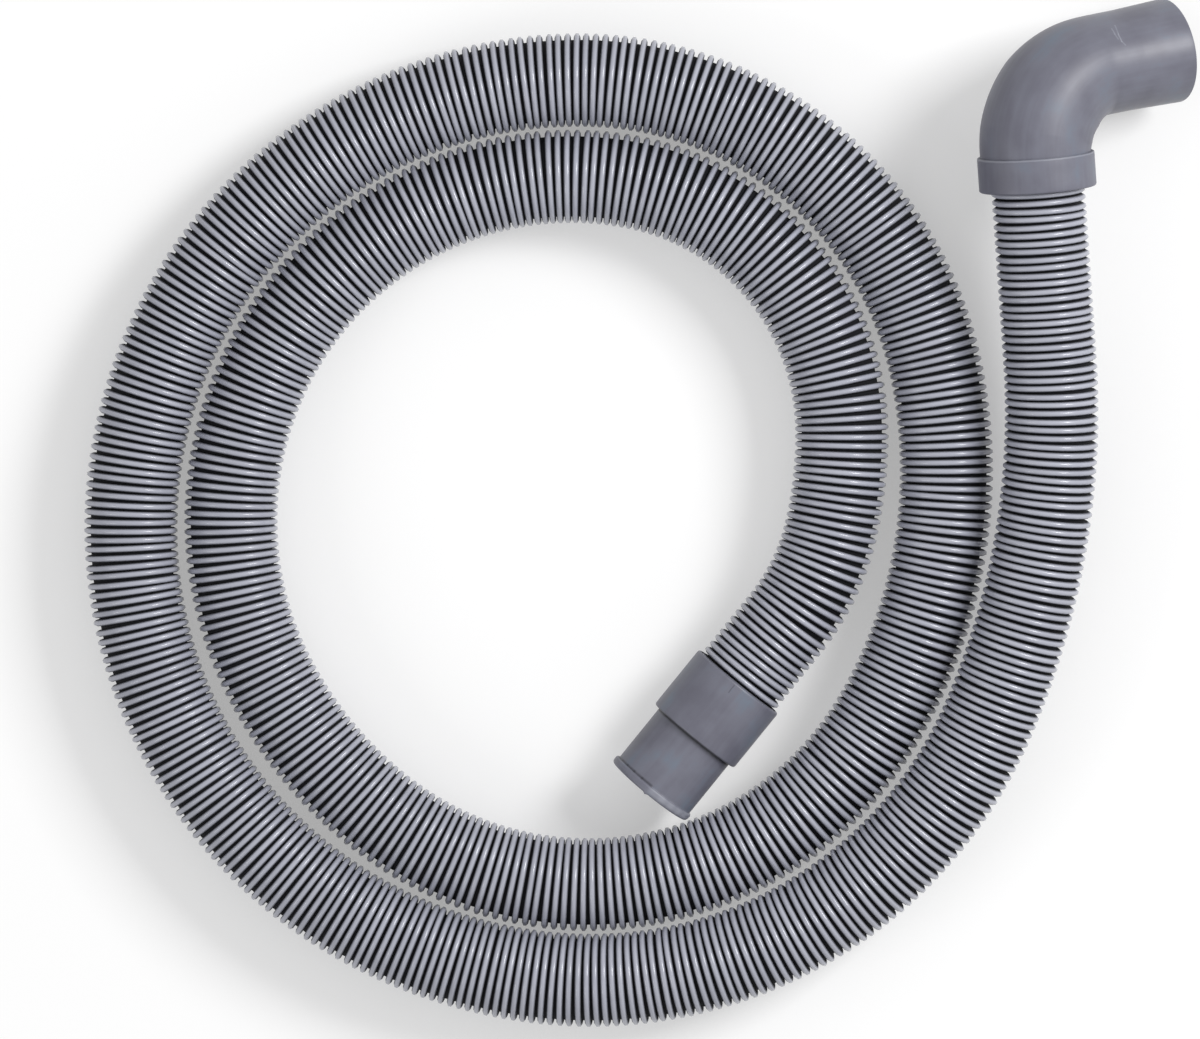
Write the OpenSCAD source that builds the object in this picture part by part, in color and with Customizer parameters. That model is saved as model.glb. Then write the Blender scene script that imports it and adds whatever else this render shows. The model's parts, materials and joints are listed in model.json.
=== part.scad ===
// Ribbed drain hose lying in a loose coil, with a straight connector on its
// inner end and an elbow on its outer end. Both fittings turn on the hose.
// Millimetres, +Z up. The origin is on the floor at the middle of the coil.

/* [Hose] */
// Diameter over the ribs
hose_od = 38; // [34:0.5:38]
// Height of the ribs above the bottom of a groove
rib_height = 2.6; // [2.2:0.1:2.8]
// Wall between the bottom of a groove and the bore
hose_wall = 0.9; // [0.7:0.1:1]
// Number of ribs from end to end
ribs = 200; // [120:2:200]
// Length of the one rib that each fitting holds
held_rib = 11; // [10:0.5:12]

/* [Straight connector] */
// Length of the cuff
cuff_len = 28.5; // [24:0.5:36]
// Wall of the cuff
cuff_wall = 0.9; // [0.8:0.1:2]
// Thickness of the lip at the cuff's mouth
cuff_lip = 2.2; // [1.8:0.1:2.6]
// Thickness of the flange that closes the cuff round the spigot
cuff_flange = 2.2; // [1.6:0.1:3]
// Radius of the cuff's outer edges
cuff_edge = 1.2; // [0.4:0.1:1.4]
// Bore of the spigot
spigot_bore = 32.4; // [30:0.2:33]
// Wall of the spigot
spigot_wall = 2; // [1.4:0.1:2.2]
// Length of the spigot outside the cuff
spigot_len = 29; // [15:0.5:30]
// Height of the bead round the spigot's end
bead_height = 1.2; // [0.8:0.05:1.5]
// Length of the bead
bead_len = 3.2; // [2:0.1:4]
// Least step that holds the spigot's root behind the cuff's flange
root_catch = 1; // [0.8:0.1:1.4]

/* [Elbow] */
// Angle that the elbow turns the flow through
bend_angle = 86; // [60:1:90]
// Radius of the bend's centreline
bend_radius = 33; // [30:0.5:45]
// Wall of the bend
bend_wall = 2.3; // [2:0.1:3.4]
// Wall of the straight leg that the hose's end sits in
leg_wall = 3.05; // [2.6:0.05:4]
// Length of the leg between the collar and the bend
leg_bare = 0; // [0:0.5:10]
// Length of the slope from the leg down to the bend
leg_slope = 1; // [0.5:0.1:2]
// Wall of the outlet round its socket
outlet_wall = 1.2; // [1:0.1:2.4]
// Length of the straight outlet
outlet_len = 35; // [32:0.5:60]
// Diameter of the socket in the outlet, for a 40 mm pipe
pipe_socket = 40.2; // [40:0.1:40.8]
// Depth of the socket in the outlet
socket_depth = 27; // [20:0.5:27]
// Step that stops the pipe at the bottom of its socket
pipe_stop = 0.5; // [0.3:0.1:1]
// Height of the step that stops the hose's seal
throat_step = 2.05; // [1.5:0.05:3]
// Length of the throat
throat_len = 2; // [1:0.5:3]

/* [Collar] */
// Length of the collar
collar_len = 14; // [10:0.5:14]
// Wall of the collar
collar_wall = 1.25; // [1:0.05:2]
// Thickness of the lip at the collar's mouth
collar_lip = 2; // [1.6:0.1:2.6]
// Radius of the collar's outer edges
collar_edge = 0.8; // [0.3:0.1:0.9]
// Height of the bead that the collar snaps over
snap_height = 0.3; // [0.2:0.05:0.5]
// Length of that bead
snap_len = 1.5; // [1:0.1:2]

/* [Rings] */
// Thickness of the split rings that hold the hose
grab_len = 2.4; // [1.8:0.1:2.8]
// Width of the split in those rings
grab_split = 5; // [2:0.5:8]
// Thickness of the seals
seal_len = 2.4; // [1.6:0.1:3]
// How far the seals' bore stands back from the hose's bore
seal_setback = 1; // [0.2:0.1:1.5]

/* [Fits] */
// Gap between a fitting and the hose that it turns on
turn_gap = 0.3; // [0.2:0.05:0.4]
// Depth that a lip reaches in behind its split ring
lip_catch = 0.45; // [0.4:0.05:1]
// Gap round a split ring
ring_gap = 0.1; // [0.05:0.01:0.15]
// End play of a split ring
end_play = 0.2; // [0.1:0.05:0.3]
// Gap between pieces that stay together
snug_gap = 0.05; // [0.02:0.01:0.1]

/* [Lie on the floor] */
// Turn of the elbow about the hose's end, which tips its outlet to the floor
elbow_roll = 29; // [15:1:40]
// Climb of the hose where it enters the elbow, in degrees
elbow_climb = 4; // [3:0.5:6]
// Length in which the hose comes down from the cuff to the floor
settle_run = 150; // [100:10:200]

/* [Hidden] */
$fn = 96;

// Route of the hose in plan, from the cuff's mouth to the collar's mouth: a
// straight lead, left-hand bends that run into each other, and a straight tail.
cuff_mouth = [70.5, -65.5];
lead = 30;
lead_heading = 51;
tail = 69;
// Each bend: its radius, and the heading in degrees where it ends
bends = [
    [94, 77], [174, 90], [104, 169], [134, 195], [140, 297], [167, 321], [137, 420],
    [200, 462], [147.5, 539], [182, 692], [196, 713], [176.5, 787], [317, 814]
];
tail_heading = bends[len(bends) - 1][1];

// Sections of the hose. Its rings have eight sides, with a flat at the bottom.
hose_sides = 8;
bore_rings = 120;
hose_r = hose_od / 2;
groove_r = hose_r - rib_height;
bore_r = groove_r - hose_wall;
crest_r = hose_r / cos(180 / hose_sides);
held_crest_r = hose_r - ring_gap;

// Radii of the spigot and the cuff
spigot_r = spigot_bore / 2 + spigot_wall;
bead_r = spigot_r + bead_height;
lip_r = hose_r + turn_gap;
cuff_cavity_r = max(lip_r + lip_catch, spigot_r + snug_gap + root_catch);
cuff_r = cuff_cavity_r + cuff_wall;
// Edges are limited by the wall that they round
cuff_mouth_edge = min(cuff_edge, 0.9 * (cuff_r - lip_r));
bead_edge = 0.9 * min(bead_height, bead_len / 2);

// The leg and the outlet stand this much proud of the bend, and lap over its ends
join_step = 0.15;
join_lap = 0.5;
// Radii of the elbow and the collar. The leg is never thinner than the bend,
// so that the collar slides over both.
pipe_r = pipe_socket / 2;
outlet_r = pipe_r + outlet_wall;
bend_bore_r = pipe_r - pipe_stop;
bend_r = bend_bore_r + bend_wall;
hose_socket_r = lip_r + ring_gap + snug_gap;
throat_r = hose_socket_r - throat_step;
leg_r = max(hose_socket_r + leg_wall, bend_r + join_step);
leg_len = collar_len + leg_bare;
collar_cavity_r = leg_r + snug_gap;
collar_r = collar_cavity_r + collar_wall;
outlet_taper = 10;
outlet_edge = 0.5;
// Cuts run this far past the faces that they open
cut_over = 1;

// Distances from a fitting's mouth to the middle of its split ring
cuff_grab_z = cuff_lip + end_play + grab_len / 2;
collar_grab_z = collar_lip + end_play + grab_len / 2;
// Distances from a fitting's mouth to its seal, and to the stop behind it
cuff_seal_z = cuff_grab_z + held_rib + turn_gap;
elbow_seal_z = collar_grab_z + held_rib + turn_gap;
spigot_root_z = cuff_seal_z + seal_len;
elbow_stop_z = elbow_seal_z + seal_len;
leg_face_z = collar_grab_z + grab_len / 2 + end_play;
snap_z = (leg_face_z + collar_len - snap_len) / 2;

// Lengths along the route
function heading_in(i) = i == 0 ? lead_heading : bends[i - 1][1];
function bend_length(i) = bends[i][0] * (bends[i][1] - heading_in(i)) * PI / 180;
function along(heading) = [cos(heading), sin(heading)];
// Step across part of bend i, from its start to where it has turned to a heading
function bend_step(i, heading) = bends[i][0]
    * [sin(heading) - sin(heading_in(i)), cos(heading_in(i)) - cos(heading)];
function start_length(i) = i == 0 ? lead : start_length(i - 1) + bend_length(i - 1);
function start_place(i) = i == 0
    ? cuff_mouth + lead * along(lead_heading)
    : start_place(i - 1) + bend_step(i - 1, bends[i - 1][1]);
bend_starts = [for (i = [0:len(bends)]) [start_length(i), start_place(i)]];
free_len = bend_starts[len(bends)][0] + tail;
rib_pitch = (free_len + cuff_grab_z + collar_grab_z) / (ribs - 2);
hose_start = -cuff_grab_z - held_rib;
hose_end = free_len + collar_grab_z + held_rib;

// Plan of the route: the bend that holds distance s (-1 on the lead), then the
// heading and the place there
function bend_at(s) = len([for (b = bend_starts) if (b[0] <= s) 1]) - 1;
function heading_at(s) = let (i = bend_at(s))
    i < 0 ? lead_heading
    : i >= len(bends) ? tail_heading
    : heading_in(i) + (s - bend_starts[i][0]) / bends[i][0] * 180 / PI;
function plan_at(s) = let (i = bend_at(s))
    i < 0 ? cuff_mouth + s * along(lead_heading)
    : i >= len(bends) ? bend_starts[i][1] + (s - bend_starts[i][0]) * along(tail_heading)
    : bend_starts[i][1] + bend_step(i, heading_at(s));

// Height of the elbow's mouth, at which the outlet's rim just meets the floor:
// how far the rim's centre lies below the mouth, and the rim's own drop
outlet_slope = cos(bend_angle) * sin(elbow_climb)
    - sin(bend_angle) * cos(elbow_climb) * sin(elbow_roll);
elbow_rise = sin(elbow_climb) * (leg_len + bend_radius * sin(bend_angle) + outlet_len * cos(bend_angle));
elbow_fall = cos(elbow_climb) * sin(elbow_roll)
    * (bend_radius * (1 - cos(bend_angle)) + outlet_len * sin(bend_angle));
elbow_z = elbow_fall - elbow_rise + outlet_r * sqrt(1 - pow(outlet_slope, 2));

// Height of the hose's axis: level in the cuff, down to the floor, then up a
// parabola to a straight length of one diameter before the elbow
straight_climb = hose_od;
climb_end = free_len - straight_climb;
climb_height = elbow_z - hose_r - straight_climb * tan(elbow_climb);
climb_run = 2 * climb_height / tan(elbow_climb);
climb_start = climb_end - climb_run;
function eased(t) = t * t * (3 - 2 * t);
function height_at(s) =
    s < lead ? cuff_r
    : s < lead + settle_run ? cuff_r + (hose_r - cuff_r) * eased((s - lead) / settle_run)
    : s < climb_start ? hose_r
    : s < climb_end ? hose_r + climb_height * pow((s - climb_start) / climb_run, 2)
    : elbow_z + (s - free_len) * tan(elbow_climb);
function place_at(s) = concat(plan_at(s), height_at(s));

// Ring of the hose at distance s, square to the route: vertices left, up and on
function hose_ring(s, r) = let (
        place = place_at(s),
        heading = heading_at(s),
        climb = atan2(height_at(s + 0.5) - height_at(s - 0.5), 1),
        left = [-sin(heading), cos(heading), 0],
        up = [-cos(heading) * sin(climb), -sin(heading) * sin(climb), cos(climb)]
    )
    [for (k = [0:hose_sides - 1]) let (turn = (k + 0.5) * 360 / hose_sides)
        place + r * (cos(turn) * left + sin(turn) * up)];

// Outer rings in order: a groove, then a crest and a groove for each rib
function groove_at(i) = i == 0 ? hose_start : i == ribs ? hose_end : (i - 1) * rib_pitch - cuff_grab_z;
function crest_at(i) = (groove_at(i) + groove_at(i + 1)) / 2;
function rib_crest_r(i) = i == 0 || i == ribs - 1 ? held_crest_r : crest_r;
outer_rings = concat(
    [hose_ring(hose_start, groove_r)],
    [for (i = [0:ribs - 1], half = [0, 1])
        half == 0 ? hose_ring(crest_at(i), rib_crest_r(i)) : hose_ring(groove_at(i + 1), groove_r)]
);
inner_rings = [for (j = [0:bore_rings - 1])
    hose_ring(hose_start + (hose_end - hose_start) * j / (bore_rings - 1), bore_r)];

// Two triangles for side k of the band between the rings that start at points a and b
function band_side(a, b, k) = let (n = (k + 1) % hose_sides)
    [[a + k, a + n, b + n], [a + k, b + n, b + k]];
function band(a, b) = [for (k = [0:hose_sides - 1], t = band_side(a, b, k)) t];

// Shortest way from point p to the line between a and b
function way_to_line(p, a, b) =
    norm(p - a - (b - a) * max(0, min(1, (p - a) * (b - a) / ((b - a) * (b - a)))));
// Least gap between turns: axis to axis on points, less the diameter. Points
// nearer than far_along to each other on the hose are parts of one bend.
gap_step = 6;
far_along = 150;
function least_gap() = let (
        count = floor(free_len / gap_step),
        skip = ceil(far_along / gap_step),
        points = [for (i = [0:count]) place_at(i * gap_step)]
    )
    min([for (i = [0:count - skip - 1], j = [i + skip:count - 1])
        way_to_line(points[i], points[j], points[j + 1])]) - hose_od;

module hose() {
    bore_first = len(outer_rings) * hose_sides;
    bore_last = bore_first + (bore_rings - 1) * hose_sides;
    outer_last = bore_first - hose_sides;
    echo(least_gap_between_turns = least_gap(), hose_length = hose_end - hose_start);
    color("#74757e")
        polyhedron(
            points = [for (ring = concat(outer_rings, inner_rings), p = ring) p],
            faces = concat(
                [for (i = [0:len(outer_rings) - 2], t = band(i * hose_sides, (i + 1) * hose_sides)) t],
                [for (j = [0:bore_rings - 2],
                    t = band(bore_first + (j + 1) * hose_sides, bore_first + j * hose_sides)) t],
                band(bore_first, 0),
                band(outer_last, bore_last)
            ),
            convexity = 10
        );
}

// Points of a quarter-round edge of radius r about a centre, turned from angle a
function edge(centre, r, a) = [for (t = [0:15:90]) centre + r * [cos(a + t), sin(a + t)]];

module lathe(profile) {
    rotate_extrude() polygon(profile);
}

module split_ring(inner_r, outer_r) {
    difference() {
        lathe([[inner_r, 0], [outer_r, 0], [outer_r, grab_len], [inner_r, grab_len]]);
        translate([outer_r / 2, -grab_split / 2, -cut_over])
            cube([outer_r, grab_split, grab_len + 2 * cut_over]);
    }
}

module seal(outer_r) {
    seal_bore_r = bore_r + seal_setback;
    lathe([[seal_bore_r, 0], [outer_r, 0], [outer_r, seal_len], [seal_bore_r, seal_len]]);
}

// Radius at which a split ring clears the flanks of the hose's groove
function grab_bore_r() = groove_r + ring_gap
    + (crest_r - groove_r) * grab_len / min(held_rib, rib_pitch);

// Frames of the fittings: origin at the mouth, +Z away from the hose
module on_cuff() {
    translate(concat(cuff_mouth, cuff_r))
        rotate([0, 90, lead_heading + 180])
            children();
}

module on_elbow() {
    translate(place_at(free_len))
        rotate([0, 90 - elbow_climb, tail_heading])
            children();
}

// Turns an elbow drawn in the XZ plane so that its outlet points right and down
module rolled() {
    rotate([0, 0, elbow_roll - 90])
        children();
}

// Part of the bend's tube of radius r, from an angle after its start to its end
module bend_part(r, from_angle) {
    translate([bend_radius, 0, leg_len])
        rotate([90, 0, 0])
            rotate([0, 0, 180 - bend_angle])
                rotate_extrude(angle = bend_angle - from_angle)
                    translate([bend_radius, 0])
                        circle(r);
}

module at_outlet() {
    translate([bend_radius * (1 - cos(bend_angle)), 0, leg_len + bend_radius * sin(bend_angle)])
        rotate([0, bend_angle, 0])
            children();
}

module elbow() {
    throat_end = elbow_stop_z + throat_len;
    bore_from = asin((throat_end - leg_len) / bend_radius);
    color("#7d7d85")
        on_elbow() rolled() difference() {
            union() {
                lathe([
                    [0, leg_face_z], [leg_r, leg_face_z], [leg_r, snap_z],
                    [leg_r + snap_height, snap_z + snap_len / 2],
                    [leg_r, snap_z + snap_len], [leg_r, leg_len - leg_slope],
                    [bend_r + join_step, leg_len], [bend_r + join_step, leg_len + join_lap],
                    [0, leg_len + join_lap]
                ]);
                bend_part(bend_r, 0);
                at_outlet() lathe(concat(
                    [
                        [0, -join_lap], [bend_r + join_step, -join_lap],
                        [bend_r + join_step, 0], [outlet_r, outlet_taper]
                    ],
                    edge([outlet_r - outlet_edge, outlet_len - outlet_edge], outlet_edge, 0),
                    [[0, outlet_len]]
                ));
            }
            cylinder(r = hose_socket_r, h = elbow_stop_z);
            cylinder(r = throat_r, h = throat_end + cut_over);
            bend_part(bend_bore_r, bore_from);
            at_outlet() {
                translate([0, 0, -join_lap])
                    cylinder(r = bend_bore_r + join_step, h = outlet_len);
                translate([0, 0, outlet_len - socket_depth])
                    cylinder(r = pipe_r, h = socket_depth + cut_over);
            }
        }
}

module elbow_collar() {
    snap_r = collar_cavity_r + snap_height;
    color("#83838b")
        on_elbow() lathe(concat(
            [[lip_r, 0]],
            edge([collar_r - collar_edge, collar_edge], collar_edge, -90),
            edge([collar_r - collar_edge, collar_len - collar_edge], collar_edge, 0),
            [
                [collar_cavity_r, collar_len], [collar_cavity_r, snap_z + snap_len],
                [snap_r, snap_z + snap_len / 2], [collar_cavity_r, snap_z],
                [collar_cavity_r, collar_lip], [lip_r, collar_lip]
            ]
        ));
}

module elbow_seal() {
    color("#3a3a3e")
        on_elbow() translate([0, 0, elbow_seal_z]) seal(hose_socket_r - snug_gap);
}

module elbow_grab_ring() {
    color("#b8b8bc")
        on_elbow() translate([0, 0, collar_lip + end_play])
            split_ring(grab_bore_r(), collar_cavity_r - ring_gap);
}

module cuff() {
    color("#7d7d85")
        on_cuff() lathe(concat(
            [[lip_r, 0]],
            edge([cuff_r - cuff_mouth_edge, cuff_mouth_edge], cuff_mouth_edge, -90),
            edge([cuff_r - cuff_edge, cuff_len - cuff_edge], cuff_edge, 0),
            [
                [spigot_r + snug_gap, cuff_len], [spigot_r + snug_gap, cuff_len - cuff_flange],
                [cuff_cavity_r, cuff_len - cuff_flange], [cuff_cavity_r, cuff_lip],
                [lip_r, cuff_lip]
            ]
        ));
}

module spigot() {
    root_r = cuff_cavity_r - snug_gap;
    root_end = cuff_len - cuff_flange;
    tip = cuff_len + spigot_len;
    color("#7d7d85")
        on_cuff() lathe(concat(
            [
                [spigot_bore / 2, spigot_root_z], [root_r, spigot_root_z], [root_r, root_end],
                [spigot_r, root_end], [spigot_r, tip - bead_len]
            ],
            edge([bead_r - bead_edge, tip - bead_len + bead_edge], bead_edge, -90),
            edge([bead_r - bead_edge, tip - bead_edge], bead_edge, 0),
            [[spigot_bore / 2, tip]]
        ));
}

module cuff_seal() {
    color("#3a3a3e")
        on_cuff() translate([0, 0, cuff_seal_z]) seal(cuff_cavity_r - snug_gap);
}

module cuff_grab_ring() {
    color("#b8b8bc")
        on_cuff() translate([0, 0, cuff_lip + end_play])
            split_ring(grab_bore_r(), cuff_cavity_r - ring_gap);
}

hose();
elbow();
elbow_collar();
elbow_seal();
elbow_grab_ring();
cuff();
spigot();
cuff_seal();
cuff_grab_ring();
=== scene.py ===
"""Ribbed drain hose kit, dressed for rendering.

A grey corrugated hose lies in a loose coil. A straight connector turns on its
inner end, and an elbow lies on its side on the outer end. All lengths are in
metres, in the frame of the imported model: +Z up, origin on the floor at the
middle of the coil.
"""

import json
import logging
import math
from collections.abc import Callable
from dataclasses import dataclass, field
from enum import Enum
from functools import partial

import bpy
import numpy as np
from mathutils import Matrix, Vector


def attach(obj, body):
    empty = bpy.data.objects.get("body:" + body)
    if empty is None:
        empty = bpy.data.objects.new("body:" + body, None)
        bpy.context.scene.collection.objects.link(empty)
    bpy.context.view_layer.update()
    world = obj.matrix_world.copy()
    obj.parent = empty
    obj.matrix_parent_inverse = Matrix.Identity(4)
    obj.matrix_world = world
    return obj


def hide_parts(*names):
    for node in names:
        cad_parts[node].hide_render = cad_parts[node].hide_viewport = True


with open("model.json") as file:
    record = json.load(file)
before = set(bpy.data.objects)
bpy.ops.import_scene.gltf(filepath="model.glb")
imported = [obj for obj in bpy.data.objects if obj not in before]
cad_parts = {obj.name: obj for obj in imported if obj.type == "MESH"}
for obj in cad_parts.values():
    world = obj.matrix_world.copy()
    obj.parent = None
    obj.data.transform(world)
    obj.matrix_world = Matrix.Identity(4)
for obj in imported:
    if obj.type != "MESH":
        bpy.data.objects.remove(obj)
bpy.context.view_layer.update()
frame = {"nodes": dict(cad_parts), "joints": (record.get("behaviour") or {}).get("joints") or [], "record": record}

LOG = logging.getLogger("hose_kit")
MM = 0.001
WHITE = "#ffffff"
# Middle of a colour ramp, and of a noise's range
MIDDLE = 0.5
# Share of its part of a side that a rounded corner may take
SIDE_SHARE = 0.98

Grid = np.ndarray
Piece = bpy.types.Object
Material = bpy.types.Material
Node = bpy.types.Node
Adder = Callable[..., Node]
Warp = Callable[[Grid, Grid, Grid], tuple[Grid, Grid]]


class Slot(Enum):
    """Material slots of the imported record."""

    HOSE = "hose_plastic"
    FITTING = "fitting_plastic"
    SEAL = "seal_rubber"
    RING = "ring_plastic"


class Body(Enum):
    """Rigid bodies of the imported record."""

    HOSE = "root"
    ELBOW = "elbow_end"
    CONNECTOR = "straight_end"


# ---- meshes ----


def unit(v: Grid) -> Grid:
    """Vectors v scaled to length one."""
    return v / np.linalg.norm(v, axis=-1, keepdims=True)


def loop_faces(rings: int, around: int) -> Grid:
    """Quads of a hollow shell: rings that are each joined to the next, the last to the first.

    Args:
        rings: number of rings.
        around: vertices in each ring.

    Returns:
        Vertex numbers, four for each quad.
    """
    i = np.arange(rings)[:, None]
    j = np.arange(around)[None, :]
    i_next, j_next = (i + 1) % rings, (j + 1) % around
    corners = (i * around + j, i * around + j_next, i_next * around + j_next, i_next * around + j)
    return np.stack(np.broadcast_arrays(*corners), axis=-1).reshape(-1, 4)


def outward(points: Grid, quads: Grid) -> Grid:
    """Quads turned so that a closed shell's faces point out.

    The shell's volume has the sign of the sum over its triangles of
    a . (b x c). Where that is negative, every quad is reversed.

    Args:
        points: vertices, three numbers each.
        quads: four vertex numbers for each face.

    Returns:
        The quads, as they were or reversed.
    """
    a, b, c, d = (points[quads[:, k]] for k in range(4))
    volume = np.einsum("ij,ij->", a, np.cross(b, c)) + np.einsum("ij,ij->", a, np.cross(c, d))
    return quads if volume > 0 else quads[:, ::-1]


def make_piece(name: str, points: Grid, quads: Grid, sharp_deg: float = 40.0) -> Piece:
    """A mesh object at the origin from points and quads.

    Args:
        name: the piece's name.
        points: vertices, three numbers each, in the frame's metres.
        quads: four vertex numbers for each face.
        sharp_deg: edges that turn more than this stay sharp under smooth shading.

    Returns:
        The new object, linked to the scene.
    """
    mesh = bpy.data.meshes.new(name)
    mesh.vertices.add(len(points))
    mesh.vertices.foreach_set("co", points.astype(np.float32).ravel())
    mesh.loops.add(quads.size)
    mesh.loops.foreach_set("vertex_index", quads.astype(np.int32).ravel())
    mesh.polygons.add(len(quads))
    mesh.polygons.foreach_set("loop_start", np.arange(0, quads.size, 4, dtype=np.int32))
    mesh.update(calc_edges=True)
    mesh.validate()
    mesh.shade_smooth()
    mesh.set_sharp_from_angle(angle=math.radians(sharp_deg))
    piece = bpy.data.objects.new(name, mesh)
    bpy.context.scene.collection.objects.link(piece)
    return piece


def add_attribute(piece: Piece, name: str, values: Grid) -> None:
    """Stores values on a piece's vertices, for its material.

    Args:
        piece: the object.
        name: the attribute's name.
        values: one number, or a row of three, for each vertex.
    """
    rows = values.ndim == 2
    attribute = piece.data.attributes.new(name, "FLOAT_VECTOR" if rows else "FLOAT", "POINT")
    attribute.data.foreach_set("vector" if rows else "value", values.astype(np.float32).ravel())


def filleted(corners: list[tuple[float, float, float]], steps: int = 6) -> Grid:
    """A closed profile with rounded corners.

    At each corner an arc of the given radius touches both sides. Its points
    lie on a quadratic curve through the two touching points, with the corner
    as its control point, which is within a hair of the arc. Two corners share
    the side between them in proportion to their radii.

    Args:
        corners: distance along the axis, radius, and the corner's rounding.
        steps: points on each rounded corner.

    Returns:
        Rows of distance along the axis and radius.
    """
    rows = []
    place = np.array([c[:2] for c in corners])
    for k, (_, _, rounding) in enumerate(corners):
        follows = (k + 1) % len(corners)
        corner, before, after = place[k], place[k - 1], place[follows]
        if rounding <= 0:
            rows.append(corner[None, :])
            continue
        to_before, to_after = unit(before - corner), unit(after - corner)
        half = math.acos(float(np.clip(to_before @ to_after, -1, 1))) / 2
        room = min(
            np.linalg.norm(before - corner) * rounding / (rounding + corners[k - 1][2]),
            np.linalg.norm(after - corner) * rounding / (rounding + corners[follows][2]),
        )
        reach = min(rounding / math.tan(half), SIDE_SHARE * room)
        t = np.linspace(0, 1, steps)[:, None]
        start, end = corner + reach * to_before, corner + reach * to_after
        rows.append((1 - t) ** 2 * start + 2 * t * (1 - t) * corner + t**2 * end)
    return np.vstack(rows)


def refined(profile: Grid, longest: float) -> Grid:
    """A closed profile with points added on its long sides, evenly spaced.

    Args:
        profile: rows of distance along the axis and radius.
        longest: length that no side may pass.

    Returns:
        Rows of distance along the axis and radius.
    """
    rows = []
    for start, end in zip(profile, np.roll(profile, -1, axis=0)):
        count = max(1, math.ceil(np.linalg.norm(end - start) / longest))
        t = np.arange(count)[:, None] / count
        rows.append(start + t * (end - start))
    return np.vstack(rows)


def spokes(angle: Grid, side: Grid, upright: Grid) -> Grid:
    """Directions round an axis: cos angle * side + sin angle * upright.

    Args:
        angle: angles round the axis.
        side: a direction square to the axis, one for each ring.
        upright: the direction square to both, one for each ring.

    Returns:
        Directions by ring, angle and coordinate.
    """
    cos, sin = np.cos(angle)[None, :, None], np.sin(angle)[None, :, None]
    return cos * side[:, None, :] + sin * upright[:, None, :]


# ---- axes ----


@dataclass(frozen=True)
class FittingAxis:
    """Centreline of a fitting, straight or with one bend.

    It starts at the fitting's mouth and runs away from the hose. After a
    straight leg it may turn through an angle towards a side direction.
    """

    mouth: Grid
    ahead: Grid
    side: Grid
    leg: float = 0.0
    bend_radius: float = 1.0
    bend_angle: float = 0.0

    @property
    def bend_end(self) -> float:
        """Distance from the mouth to the end of the bend."""
        return self.leg + self.bend_radius * self.bend_angle

    def frames(self, s: Grid) -> tuple[Grid, Grid, Grid, Grid]:
        """Places and directions along the axis.

        Along the leg the place is mouth + s * ahead. In the bend the turned
        angle is a = (s - leg) / radius, the place leg end + radius *
        (sin a * ahead + (1 - cos a) * side), and past it the line runs on
        straight.

        Args:
            s: distances from the mouth.

        Returns:
            Place, forward, side and upright directions, a row for each s.
        """
        turned = np.clip((s - self.leg) / self.bend_radius, 0, self.bend_angle)[:, None]
        beyond = np.where(s < self.leg, s - self.leg, np.maximum(s - self.bend_end, 0))[:, None]
        forward = np.cos(turned) * self.ahead + np.sin(turned) * self.side
        across = np.cos(turned) * self.side - np.sin(turned) * self.ahead
        place = (
            self.mouth
            + self.leg * self.ahead
            + self.bend_radius * (np.sin(turned) * self.ahead + (1 - np.cos(turned)) * self.side)
            + beyond * forward
        )
        upright = np.broadcast_to(np.cross(self.ahead, self.side), place.shape)
        return place, forward, across, upright

    def sweep(self, s: Grid, r: Grid, angle: Grid) -> Grid:
        """Points at distance s, radius r and angle, from the side direction to upright.

        A ring's points share the axis place at their mean distance, and each
        slips forward by its own difference from that mean.

        Args:
            s: distances along the axis, a row for each ring and a column for each vertex.
            r: radii, of the same shape.
            angle: angles round the axis, one for each vertex of a ring.

        Returns:
            Points in ring order, three numbers each.
        """
        middle = s.mean(axis=1, keepdims=True)
        place, forward, across, upright = self.frames(middle[:, 0])
        slip = (s - middle)[..., None] * forward[:, None, :]
        out = r[..., None] * spokes(angle, across, upright)
        return (place[:, None, :] + slip + out).reshape(-1, 3)


def joint_named(name: str) -> dict:
    """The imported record's joint of that name."""
    return next(j for j in frame["joints"] if j["name"] == name)


@dataclass(frozen=True)
class Shell:
    """A moulding of a fitting: a closed profile that is carried round its axis.

    Corners are distance along the axis, radius and the corner's rounding. A
    warp turns distance, radius and angle into moved distance and radius.
    """

    name: str
    node: str
    corners: list[tuple[float, float, float]]
    longest: float
    around: int
    warp: Warp | None = None

    def build(self, axis: FittingAxis, plastic: Material, body: Body) -> Piece:
        """Makes and dresses the moulding, on its body and in place of its node.

        Its attribute straight holds each vertex's place on the straightened
        fitting: radius * cos angle, radius * sin angle and distance from the mouth.

        Args:
            axis: the fitting's centreline.
            plastic: the fitting's material.
            body: the rigid body that it rides on.

        Returns:
            The new object.
        """
        profile = refined(filleted(self.corners), self.longest)
        angle = np.arange(self.around) * 2 * math.pi / self.around
        s, r = (np.repeat(column[:, None], self.around, axis=1) for column in profile.T)
        if self.warp is not None:
            s, r = self.warp(s, r, np.broadcast_to(angle, s.shape))
        points, quads = axis.sweep(s, r, angle), loop_faces(len(profile), self.around)
        piece = make_piece(self.name, points, outward(points, quads))
        straight = np.stack([r * np.cos(angle), r * np.sin(angle), s], axis=-1)
        add_attribute(piece, "straight", straight.reshape(-1, 3))
        dress(piece, plastic)
        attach(piece, body.value)
        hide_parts(self.node)
        LOG.info("%s: %s", body.value, piece.name)
        return piece


# ---- finishes ----


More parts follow.
